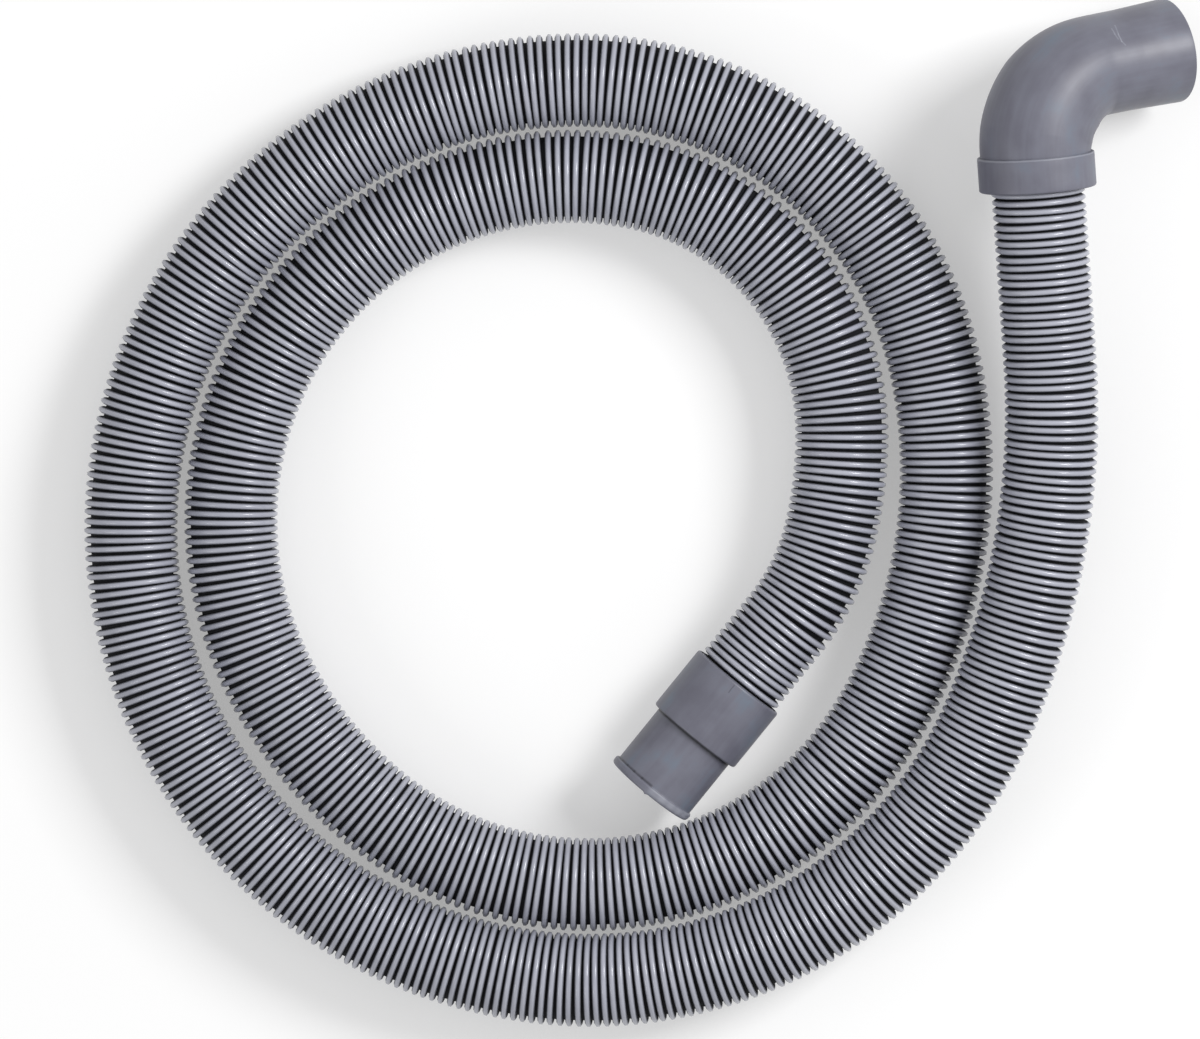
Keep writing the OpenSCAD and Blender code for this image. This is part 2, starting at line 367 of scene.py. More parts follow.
def linear(hex_colour: str) -> tuple[float, float, float, float]:
    """Linear RGBA of a colour, by the sRGB curve.

    A channel c becomes c / 12.92 up to 0.04045, and ((c + 0.055) / 1.055)^2.4 above it.

    Args:
        hex_colour: sRGB hex colour such as #7d7d85.

    Returns:
        Red, green, blue and a full alpha.
    """
    srgb = [int(hex_colour[k : k + 2], 16) / 255 for k in (1, 3, 5)]
    rgb = [c / 12.92 if c <= 0.04045 else ((c + 0.055) / 1.055) ** 2.4 for c in srgb]
    return (*rgb, 1.0)


def add_node(
    tree: bpy.types.NodeTree, kind: str, settings: dict | None = None, **inputs: object
) -> Node:
    """Adds a shader node.

    Args:
        tree: the node tree.
        kind: the node's type name, without the ShaderNode prefix.
        settings: properties set on the node itself.
        **inputs: sockets by name, with underscores for spaces, or by number as in_0. A
            socket, or a node's first output, is linked, and any other value is set.

    Returns:
        The node.
    """
    node = tree.nodes.new("ShaderNode" + kind)
    for key, value in (settings or {}).items():
        setattr(node, key, value)
    for key, value in inputs.items():
        place = int(key.removeprefix("in_")) if key.startswith("in_") else key.replace("_", " ")
        source = value.outputs[0] if isinstance(value, Node) else value
        if isinstance(source, bpy.types.NodeSocket):
            tree.links.new(source, node.inputs[place])
        else:
            node.inputs[place].default_value = source
    return node


def set_ramp(node: Node, positions: tuple[float, ...], colours: tuple[str, ...]) -> None:
    """Gives a colour ramp its stops.

    Args:
        node: the colour ramp.
        positions: the stops' positions, in order.
        colours: their sRGB hex colours.
    """
    elements = node.color_ramp.elements
    while len(elements) < len(positions):
        elements.new(MIDDLE)
    for element, position, colour in zip(elements, positions, colours):
        element.position = position
        element.color = linear(colour)


def new_material(name: str) -> tuple[Material, Adder]:
    """An empty node material.

    Args:
        name: its name.

    Returns:
        The material, and add_node for its tree.
    """
    material = bpy.data.materials.new(name)
    material.use_nodes = True
    material.node_tree.nodes.clear()
    return material, partial(add_node, material.node_tree)


@dataclass(frozen=True)
class BlowMouldedPolyethylene:
    """Soft polyethylene of the hose, blown into a ribbed mould.

    Its skin is smooth and slightly waxy, so that each crest carries a short
    line of light. The grooves' nearly black colour is painted shade, and dust
    in them takes their gloss.
    """

    crest: str = "#9fa1ad"
    pale: str = "#b2b4c0"
    # Painted shade of the grooves and the bore
    groove: str = "#02030a"
    gloss: float = 0.22
    dust: float = 1.0
    ior: float = 1.51
    mottle_mm: float = 9.0
    mottle_share: float = 0.5
    # Tones at which the skin has the crest's colour and the pale one
    tones: tuple[float, float] = (0.3, 1.0)
    # Heights on a rib, from foot 0 to crest 1, between which the grooves' painted shade
    # and dust roughness give way to the skin's colour and gloss
    dust_and_shade_fade: tuple[float, float] = (0.5, 0.92)
    peel_mm: float = 0.5
    peel_depth_mm: float = 0.05
    peel_strength: float = 0.1

    def build(self) -> Material:
        """Makes the node material.

        It reads two attributes of the hose: depth, the height on a rib, and
        tone, which differs from rib to rib and gets a share of the mottle.

        Returns:
            The material.
        """
        material, add = new_material("blow_moulded_polyethylene")
        depth = add("Attribute", {"attribute_name": "depth"}).outputs["Fac"]
        tone = add("Attribute", {"attribute_name": "tone"}).outputs["Fac"]
        place = add("TexCoord").outputs["Object"]
        mottle = add("TexNoise", Vector=place, Scale=1 / (self.mottle_mm * MM), Detail=2.0)
        mixed = add("Math", {"operation": "MULTIPLY_ADD"}, in_0=mottle, in_1=self.mottle_share,
                    in_2=tone)
        skin = add("ValToRGB", Fac=mixed)
        set_ramp(skin, self.tones, (self.crest, self.pale))
        # Painted shade: grooves and bore take the nearly black groove colour, fading into the skin towards the
        # crest
        dust_and_shade_fade = add("MapRange", Value=depth, From_Min=self.dust_and_shade_fade[0], From_Max=self.dust_and_shade_fade[1])
        colour = add("Mix", {"data_type": "RGBA"}, in_0=dust_and_shade_fade, in_6=linear(self.groove),
                     in_7=skin)
        rough = add("MapRange", Value=dust_and_shade_fade, To_Min=self.dust, To_Max=self.gloss)
        peel = add("TexNoise", Vector=place, Scale=1 / (self.peel_mm * MM), Detail=1.0)
        bump = add("Bump", Strength=self.peel_strength, Distance=self.peel_depth_mm * MM,
                   Height=peel)
        shader = add("BsdfPrincipled", Base_Color=colour.outputs[2], Roughness=rough,
                     IOR=self.ior, Normal=bump)
        add("OutputMaterial", Surface=shader)
        return material


class Tone(Enum):
    """Whether a mark is lighter or darker than the skin round it."""

    PALE = "pale"
    DARK = "dark"


@dataclass(frozen=True)
class Mark:
    """A line on a fitting's skin: a scratch, a nick, a painted highlight or painted shade.

    Its ends are on the straightened fitting, at a distance from the mouth and
    an angle. A ring runs all the way round at its first end's distance.
    """

    tone: Tone
    along: tuple[float, float]
    degrees: tuple[float, float]
    radius: float
    width: float
    strength: float
    ring: bool = False
    # Share of its width that has the full strength
    core: float = 0.25

    def mask(self, add: Adder, place: Node) -> Node:
        """A node with the mark's strength on its line, falling to 0 at its width.

        For point P and ends A and B, t = (P - A) . (B - A) / |B - A|^2, held
        between 0 and 1, and the distance is |P - A - t (B - A)|. For a ring the
        distance is |z of P - z of A|.

        Args:
            add: add_node for the material's tree.
            place: node of the place on the straightened fitting.

        Returns:
            The mask's node.
        """
        if self.ring:
            z = add("SeparateXYZ", Vector=place).outputs["Z"]
            off = add("Math", {"operation": "SUBTRACT"}, in_0=z, in_1=self.along[0])
            distance = add("Math", {"operation": "ABSOLUTE"}, in_0=off)
        else:
            angle = np.radians(self.degrees)
            first, last = np.column_stack(
                [self.radius * np.cos(angle), self.radius * np.sin(angle), self.along])
            line = last - first
            start = add("VectorMath", {"operation": "SUBTRACT"}, in_0=place, in_1=tuple(first))
            share = add("VectorMath", {"operation": "DOT_PRODUCT"}, in_0=start,
                        in_1=tuple(line / (line @ line)))
            held = add("Clamp", Value=share.outputs["Value"])
            step = add("VectorMath", {"operation": "SCALE"}, in_0=tuple(line), Scale=held)
            off = add("VectorMath", {"operation": "SUBTRACT"}, in_0=start, in_1=step)
            distance = add("VectorMath", {"operation": "LENGTH"}, in_0=off).outputs["Value"]
        return add("MapRange", Value=distance, From_Min=self.core * self.width,
                   From_Max=self.width, To_Min=self.strength, To_Max=0.0)


@dataclass(frozen=True)
class InjectionMouldedPolypropylene:
    """Rigid grey plastic of the fittings, injected into a fine-grained mould.

    Fine grain spreads its highlights, the mould's flow leaves faint clouds,
    and drawing the core leaves fainter streaks along the tube. Where hands
    push it on to a pipe, it is polished.
    """

    name: str
    marks: tuple[Mark, ...] = ()
    dark: str = "#61616d"
    light: str = "#6b6c78"
    cool: str = "#697280"
    # Tones at which the skin is dark, light and cool
    tones: tuple[float, float, float] = (0.35, 0.58, 0.78)
    # Tint of the pale marks: scratches, and painted highlights
    scuff_and_highlight: str = "#9a9ca6"
    # Tint of the dark marks: a nick, and painted shade
    nick_and_shade: str = "#1c1c22"
    roughness: float = 0.43
    polish: float = 0.43
    # Distances from the mouth between which the roughness goes over to the polish
    polish_run: tuple[float, float] = (0.0, 1.0)
    ior: float = 1.49
    cloud_mm: float = 16.0
    # Streaks: their width, their pattern's scale along the tube, and how far they shift the tone
    streak_mm: float = 2.2
    streak_along: float = 0.06
    streak_shift: float = 0.15
    grain_mm: float = 0.3
    grain_depth_mm: float = 0.03
    grain_strength: float = 0.2
    # How far a mark's line wavers, and over what length
    waver_mm: float = 0.5
    waver_run_mm: float = 2.5

    def build(self) -> Material:
        """Makes the node material, on the straightened fitting's coordinates.

        Returns:
            The material.
        """
        material, add = new_material(self.name)
        straight = add("Attribute", {"attribute_name": "straight"}).outputs["Vector"]
        cloud = add("TexNoise", Vector=straight, Scale=1 / (self.cloud_mm * MM), Detail=3.0)
        drawn = add("VectorMath", {"operation": "MULTIPLY"}, in_0=straight,
                    in_1=(1, 1, self.streak_along))
        streak = add("TexNoise", Vector=drawn, Scale=1 / (self.streak_mm * MM), Detail=2.0)
        faint = add("MapRange", Value=streak, To_Min=-self.streak_shift,
                    To_Max=self.streak_shift)
        mixed = add("Math", {"operation": "ADD"}, in_0=cloud, in_1=faint)
        skin = add("ValToRGB", Fac=mixed)
        set_ramp(skin, self.tones, (self.dark, self.light, self.cool))
        colour = skin.outputs["Color"]
        waver = add("TexNoise", Vector=straight, Scale=1 / (self.waver_run_mm * MM), Detail=2.0)
        centred = add("VectorMath", {"operation": "SUBTRACT"}, in_0=waver.outputs["Color"],
                      in_1=(MIDDLE,) * 3)
        wavered = add("VectorMath", {"operation": "MULTIPLY_ADD"}, in_0=centred,
                      in_1=(self.waver_mm * MM,) * 3, in_2=straight)
        # Marks tint the skin: pale ones are scratches and painted highlights, dark ones a nick and painted shade
        for mark in self.marks:
            tint = self.scuff_and_highlight if mark.tone is Tone.PALE else self.nick_and_shade
            colour = add("Mix", {"data_type": "RGBA"}, in_0=mark.mask(add, wavered), in_6=colour,
                         in_7=linear(tint)).outputs[2]
        grain = add("TexNoise", Vector=straight, Scale=1 / (self.grain_mm * MM), Detail=2.0)
        bump = add("Bump", Strength=self.grain_strength, Distance=self.grain_depth_mm * MM,
                   Height=grain)
        along = add("SeparateXYZ", Vector=straight).outputs["Z"]
        rough = add("MapRange", Value=along, From_Min=self.polish_run[0],
                    From_Max=self.polish_run[1], To_Min=self.roughness, To_Max=self.polish)
        shader = add("BsdfPrincipled", Base_Color=colour, Roughness=rough, IOR=self.ior,
                     Normal=bump)
        add("OutputMaterial", Surface=shader)
        return material


@dataclass(frozen=True)
class PlainMoulding:
    """A small hidden ring in one tone, with a fine moulded grain."""

    name: str
    colour: str
    roughness: float
    ior: float
    grain_mm: float = 0.6
    grain_depth_mm: float = 0.04
    grain_strength: float = 0.25
    shade_spread: float = 0.1

    def build(self) -> Material:
        """Makes the node material.

        Returns:
            The material.
        """
        material, add = new_material(self.name)
        place = add("TexCoord").outputs["Object"]
        grain = add("TexNoise", Vector=place, Scale=1 / (self.grain_mm * MM), Detail=2.0)
        spread = add("MapRange", Value=grain, To_Min=1 - self.shade_spread,
                     To_Max=1 + self.shade_spread)
        tint = add("HueSaturation", Color=linear(self.colour), Value=spread)
        bump = add("Bump", Strength=self.grain_strength, Distance=self.grain_depth_mm * MM,
                   Height=grain)
        shader = add("BsdfPrincipled", Base_Color=tint, Roughness=self.roughness, IOR=self.ior,
                     Normal=bump)
        add("OutputMaterial", Surface=shader)
        return material


def dress(piece: Piece, material: Material) -> None:
    """Gives a piece one material.

    Args:
        piece: the object.
        material: its material.
    """
    piece.data.materials.clear()
    piece.data.materials.append(material)


# ---- hose ----


@dataclass(frozen=True)
class HoseRoute:
    """Route of the hose's axis from the connector's mouth to the elbow's.

    In plan it is a straight lead, left-hand bends that run into each other
    without a kink, and a straight tail. Headings are in degrees from +X. In
    height it is level in the connector, comes down to the floor, and climbs a
    parabola to the elbow.
    """

    start: tuple[float, float] = (0.0705, -0.0655)
    lead: float = 0.030
    lead_heading: float = 51.0
    # Each bend: its radius, and the heading where it ends
    bends: tuple[tuple[float, float], ...] = (
        (0.094, 77), (0.174, 90), (0.104, 169), (0.134, 195), (0.140, 297), (0.167, 321),
        (0.137, 420), (0.200, 462), (0.1475, 539), (0.182, 692), (0.196, 713), (0.1765, 787),
        (0.317, 814),
    )
    tail: float = 0.069
    settle_run: float = 0.150
    straight_climb: float = 0.038
    floor_height: float = 0.019
    held_in_connector: float = 0.0146
    held_in_elbow: float = 0.0144
    # Half the distance between the two heights that give the slope at a place
    slope_step: float = 0.0005

    def joints(self) -> tuple[dict, dict]:
        """The swivels of the connector and of the elbow."""
        return joint_named("cuff_swivel"), joint_named("elbow_swivel")

    def tables(self) -> tuple[Grid, Grid, Grid, Grid]:
        """The runs of the plan. A run is the lead, a bend or the tail.

        A bend of radius R that turns by a is R * a long, and steps
        R * (sin h1 - sin h0, cos h0 - cos h1).

        Returns:
            Start distance, start place, start heading and curvature of each run.
        """
        radius = np.array([b[0] for b in self.bends])
        headings = np.radians([self.lead_heading, *(b[1] for b in self.bends)])
        lead_step = self.lead * np.array([math.cos(headings[0]), math.sin(headings[0])])
        turned = np.column_stack([np.diff(np.sin(headings)), -np.diff(np.cos(headings))])
        bend_steps = radius[:, None] * turned
        starts = np.cumsum([0.0, self.lead, *(radius * np.diff(headings))])
        places = np.cumsum(np.vstack([self.start, lead_step, bend_steps]), axis=0)
        curvature = np.array([0.0, *(1 / radius), 0.0])
        return starts, places, np.append(headings[0], headings), curvature

    @property
    def length(self) -> float:
        """Length between the two mouths."""
        return float(self.tables()[0][-1]) + self.tail

    def plan(self, s: Grid) -> tuple[Grid, Grid, Grid]:
        """The route seen from above.

        Args:
            s: distances along the route.

        Returns:
            Place, heading and curvature at each s.
        """
        starts, places, headings, curvature = self.tables()
        run = np.clip(np.searchsorted(starts, s, side="right") - 1, 0, len(starts) - 1)
        into, bent = s - starts[run], curvature[run]
        heading = headings[run] + into * bent
        radius = 1 / np.where(bent > 0, bent, 1.0)
        turn = radius[:, None] * np.column_stack(
            [np.sin(heading) - np.sin(headings[run]), np.cos(headings[run]) - np.cos(heading)])
        line = into[:, None] * np.column_stack([np.cos(heading), np.sin(heading)])
        return places[run] + np.where(bent[:, None] > 0, turn, line), heading, bent

    def height(self, s: Grid) -> Grid:
        """Height of the axis.

        It is level on the lead, eases down over the settling run by
        3t^2 - 2t^3, lies on the floor, climbs by the square of the distance
        and runs straight at the elbow's slope for its last stretch.

        Args:
            s: distances along the route.

        Returns:
            The height at each s.
        """
        connector, elbow = self.joints()
        cuff_z, elbow_z = connector["pos_m"][2], elbow["pos_m"][2]
        slope = elbow["axis"][2] / math.hypot(*elbow["axis"][:2])
        climb_end = self.length - self.straight_climb
        rise = elbow_z - self.floor_height - self.straight_climb * slope
        climb_run = 2 * rise / slope
        t = np.clip((s - self.lead) / self.settle_run, 0, 1)
        u = np.clip((s - climb_end) / climb_run + 1, 0, 1)
        settled = cuff_z + (self.floor_height - cuff_z) * t**2 * (3 - 2 * t)
        return settled + rise * u**2 + np.maximum(s - climb_end, 0) * slope

    def axis(self, s: Grid) -> Grid:
        """Points of the axis at distances s."""
        return np.column_stack([self.plan(s)[0], self.height(s)])

    def frames(self, s: Grid) -> tuple[Grid, Grid, Grid, Grid]:
        """Places and directions along the route.

        Args:
            s: distances along the route.

        Returns:
            Place, forward, left and upward directions, a row for each s.
        """
        heading = self.plan(s)[1]
        step = self.slope_step
        climb = np.arctan2(self.height(s + step) - self.height(s - step), 2 * step)
        left = np.column_stack([-np.sin(heading), np.cos(heading), np.zeros_like(heading)])
        forward = np.column_stack(
            [np.cos(heading) * np.cos(climb), np.sin(heading) * np.cos(climb), np.sin(climb)])
        return self.axis(s), forward, left, np.cross(forward, left)


@dataclass
class RibbedHose:
    """The hose: one tube with a round-crested rib every few millimetres."""

    route: HoseRoute = field(default_factory=HoseRoute)
    radius: float = 0.019
    bore_radius: float = 0.0155
    # Radius of the ribs inside the fittings
    held_radius: float = 0.0188
    straight_pitch: float = 0.00325
    # The line that keeps the straight pitch in a bend: 0 is the axis, 1 the inner side
    opening: float = 0.7
    # From each mouth to the middle of the nearest free rib
    first_rib: float = 0.0022
    last_rib: float = 0.0012
    half_rib: float = 0.0013
    # Section of a rib: distance from its middle along the hose, and radius
    rib: tuple[tuple[float, float], ...] = (
        (-0.00110, 0.0163), (-0.00127, 0.01775), (-0.00056, 0.01895),
        (0.00056, 0.01895), (0.00127, 0.01775), (0.00110, 0.0163),
    )
    around: int = 24
    bore_rings: int = 130
    sharp_deg: float = 75.0
    # Samples of the route that the ribs are counted on, and how many of them ease a bend's start
    count_steps: int = 9001
    easing_steps: int = 121
    path_points: int = 900
    seed: int = 11
    spacing_jitter: float = 0.00009
    tilt_jitter: float = 0.006
    tone: float = 0.3
    tone_jitter: float = 0.09
    # Depth and tone of the bore's skin; that depth gives the bore the grooves' painted shade
    bore_shade: float = 0.3

    @property
    def ends(self) -> tuple[float, float]:
        """Distances along the route of the ends inside the elbow and the connector."""
        return self.route.length + self.route.held_in_elbow, -self.route.held_in_connector

    def rib_places(self) -> Grid:
        """Places of the ribs.

        In a bend of radius R the hose's outer side opens more than its inner
        side closes, so the pitch on the axis is p * (1 + k * r / R). Free ribs
        are counted by the integral of 1 / pitch, from the first to the last, and
        placed at its whole counts. The ribs inside the fittings keep the pitch p.

        Returns:
            Distance of each rib's middle along the route.
        """
        s = np.linspace(self.first_rib, self.route.length - self.last_rib, self.count_steps)
        bent, window = self.route.plan(s)[2], self.easing_steps
        eased = np.convolve(
            np.pad(bent, window // 2, mode="edge"), np.full(window, 1 / window), "valid")
        density = 1 / (self.straight_pitch * (1 + self.opening * self.radius * eased))
        count = np.concatenate([[0], np.cumsum((density[1:] + density[:-1]) / 2 * np.diff(s))])
        ribs = round(float(count[-1]))
        free = np.interp(np.arange(ribs + 1) * count[-1] / ribs, count, s)
        room = np.array([free[0] - self.ends[1], self.ends[0] - free[-1]]) - self.half_rib
        before, after = (room / self.straight_pitch).astype(int)
        jitter = np.random.default_rng(self.seed).normal(0, self.spacing_jitter, len(free))
        jitter[[0, -1]] = 0
        return np.concatenate([
            free[0] - self.straight_pitch * np.arange(before, 0, -1),
            free + jitter,
            free[-1] + self.straight_pitch * np.arange(1, after + 1),
        ])

    def rings(self, middles: Grid, angle: Grid, tilt: Grid) -> Grid:
        """Outer rings: each rib's section, set square to the route at the rib's middle.

        A rib is a stiff ring, so it keeps its width where the hose bends, and the
        groove takes up the change. A tilt moves a point on by tilt * r * cos angle.

        Args:
            middles: distance of each rib's middle along the route.
            angle: angles round the axis, from left to upward.
            tilt: tilt of each rib, in radians.

        Returns:
            Points in ring order, three numbers each.
        """
        section = np.array(self.rib)
        place, forward, left, upward = self.route.frames(middles)
        held = (middles < 0) | (middles > self.route.length)
        most = np.where(held, self.held_radius, np.inf)
        radius = np.minimum(section[None, :, 1], most[:, None])
        on = section[None, :, None, 0] + tilt[:, None, None] * radius[:, :, None] * np.cos(angle)
        return (
            place[:, None, None, :]
            + on[..., None] * forward[:, None, None, :]
            + radius[:, :, None, None] * spokes(angle, left, upward)[:, None, :, :]
        ).reshape(-1, 3)

    def bore(self, angle: Grid) -> Grid:
        """Rings of the bore, from the elbow's end back to the connector's."""
        place, _, left, upward = self.route.frames(np.linspace(*self.ends, self.bore_rings))
        return (place[:, None, :] + self.bore_radius * spokes(angle, left, upward)).reshape(-1, 3)

    def build(self) -> Piece:
        """Makes and dresses the hose as one closed shell: ribs outside, and a plainer bore.

        Returns:
            The hose.
        """
        middles, height = self.rib_places(), np.array(self.rib)[:, 1]
        random = np.random.default_rng(self.seed + 1)
        tilt = random.normal(0, self.tilt_jitter, len(middles))
        shade = random.normal(self.tone, self.tone_jitter, len(middles))
        angle = np.arange(self.around) * 2 * math.pi / self.around
        points = np.vstack([self.rings(middles, angle, tilt), self.bore(angle)])
        quads = loop_faces(len(points) // self.around, self.around)
        hose = make_piece("ribbed_hose", points, outward(points, quads), self.sharp_deg)
        depth = np.tile((height - height.min()) / (height.max() - height.min()), len(middles))
        bore = np.full(self.bore_rings, self.bore_shade)
        for name, outside in (("depth", depth), ("tone", np.repeat(shade, len(height)))):
            add_attribute(hose, name, np.repeat(np.concatenate([outside, bore]), self.around))
        dress(hose, BlowMouldedPolyethylene().build())
        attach(hose, Body.HOSE.value)
        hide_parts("hose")
        LOG.info("hose: %d ribs, %.3f m long, %d quads", len(middles),
                 self.ends[0] - self.ends[1], len(quads))
        return hose

    def declare(self) -> None:
        """Works out the far end's place, the hose's length and points along its axis, and keeps none of them.
        """
        tuple(self.route.joints()[1]["pos_m"])
        round(self.ends[0] - self.ends[1], 3)
        self.route.axis(np.linspace(*self.ends, self.path_points)).tolist()


# ---- elbow ----


@dataclass
class Elbow:
    """The elbow, with the collar over its hose end."""

    leg: float = 0.014
    bend_radius: float = 0.033
    outlet: float = 0.035
    leg_face: float = 0.0048
    leg_radius: float = 0.0225
    # Shoulder and heel lie past the leg, and the waist about the bend's end
    shoulder: float = 0.008
    shoulder_radius: float = 0.0229
    heel: float = 0.026
    heel_radius: float = 0.0228
    waist: tuple[float, float] = (-0.002, 0.012)
    waist_radius: float = 0.0206
    mouth_radius: float = 0.0213
    bore_radius: float = 0.0196
    pipe_radius: float = 0.0201
    socket_depth: float = 0.027
    hose_socket_radius: float = 0.01945
    stop: float = 0.0171
    throat_radius: float = 0.0174
    throat_end: float = 0.0191
    collar_length: float = 0.014
    collar_radius: float = 0.0238
    collar_lip: float = 0.002
    collar_lip_radius: float = 0.0193
    collar_bore_radius: float = 0.02255
    # Roundings, from the long curves of the skin to the small edges of the mould
    sweep_rounding: float = 0.030
    shoulder_rounding: float = 0.010
    leg_rounding: float = 0.003
    collar_edge: float = 0.0010
    rim_edge: float = 0.0007
    pipe_edge: float = 0.0004
    edge: float = 0.0003
    inner_edge: float = 0.0002
    # Finish: matt up to a little past the leg, and polished from the bend's end
    roughness: float = 0.47
    polish: float = 0.37
    matt_run: float = 0.018
    # Scratches: distances and angles of both ends, and strength
    scratches: tuple[tuple[tuple[float, float], tuple[float, float], float], ...] = (
        ((0.0675, 0.0668), (-142, -129), 0.4), ((0.0668, 0.0668), (-129, -119), 0.55),
        ((0.0668, 0.0678), (-119, -114), 0.3), ((0.0653, 0.0653), (-138, -130), 0.35),
        ((0.0653, 0.0657), (-130, -123), 0.3),
    )
    # Distance of the collar's top edge, where a pale ring is a painted highlight
    collar_highlight_at: float = 0.0136
    around: int = 144
    skin_step: float = 0.0016
    collar_step: float = 0.003

    def axis(self) -> FittingAxis:
        """Centreline: from the swivel's place, bending towards the outlet's direction.

        Returns:
            The axis.
        """
        joint = joint_named("elbow_swivel")
        outlet = next(m for m in frame["record"]["mounts"] if m["name"] == "outlet_socket")
        ahead, out = unit(np.array(joint["axis"])), unit(np.array(outlet["axis"]))
        return FittingAxis(
            np.array(joint["pos_m"]), ahead, unit(out - (out @ ahead) * ahead),
            self.leg, self.bend_radius, math.acos(float(out @ ahead)),
        )

    def marks(self) -> tuple[Mark, ...]:
        """Scratches on top of the outlet, and a painted highlight round the top edge of the collar."""
        return (
            *(Mark(Tone.PALE, along, degrees, self.waist_radius, width=0.45 * MM,
                   strength=strength) for along, degrees, strength in self.scratches),
            # Painted highlight: a pale ring round the collar's top edge
            Mark(Tone.PALE, (self.collar_highlight_at,) * 2, (0, 0), self.collar_radius, width=0.55 * MM,
                 strength=0.45, ring=True),
        )

    def skin(self, axis: FittingAxis) -> Shell:
        """The elbow: an outer skin that swells at the heel and narrows to the outlet.

        Args:
            axis: the elbow's centreline.

        Returns:
            The shell.
        """
        end = axis.bend_end + self.outlet
        waist_start, waist_end = (axis.bend_end + past for past in self.waist)
        outer = [
            (self.leg_face, self.leg_radius, self.edge),
            (self.leg, self.leg_radius, self.leg_rounding),
            (self.leg + self.shoulder, self.shoulder_radius, self.shoulder_rounding),
            (self.leg + self.heel, self.heel_radius, self.sweep_rounding),
            (waist_start, self.waist_radius, self.sweep_rounding),
            (waist_end, self.waist_radius, self.sweep_rounding),
            (end, self.mouth_radius, self.rim_edge),
        ]
        inner = [
            (end, self.pipe_radius, self.pipe_edge),
            (end - self.socket_depth, self.pipe_radius, 0.0),
            (end - self.socket_depth, self.bore_radius, self.inner_edge),
            (self.throat_end, self.bore_radius, 0.0),
            (self.throat_end, self.throat_radius, 0.0), (self.stop, self.throat_radius, 0.0),
            (self.stop, self.hose_socket_radius, 0.0),
            (self.leg_face, self.hose_socket_radius, self.edge),
        ]
        return Shell("elbow_body", "elbow", outer + inner, self.skin_step, self.around)

    def collar(self) -> Shell:
        """The collar: a short straight ring with a lip over the hose."""
        return Shell("elbow_collar_ring", "elbow_collar", [
            (0.0, self.collar_lip_radius, self.edge), (0.0, self.collar_radius, self.collar_edge),
            (self.collar_length, self.collar_radius, self.rim_edge),
            (self.collar_length, self.collar_bore_radius, self.inner_edge),
            (self.collar_lip, self.collar_bore_radius, 0.0),
            (self.collar_lip, self.collar_lip_radius, self.edge),
        ], self.collar_step, self.around)

    def build(self) -> list[Piece]:
        """Makes and dresses the elbow's pieces.

        Returns:
            The elbow and its collar.
        """
        axis = self.axis()
        plastic = InjectionMouldedPolypropylene(
            "injection_moulded_elbow", self.marks(), roughness=self.roughness,
            polish=self.polish, polish_run=(self.leg + self.matt_run, axis.bend_end),
        ).build()
        shells = (self.skin(axis), self.collar())
        return [shell.build(axis, plastic, Body.ELBOW) for shell in shells]


# ---- connector ----


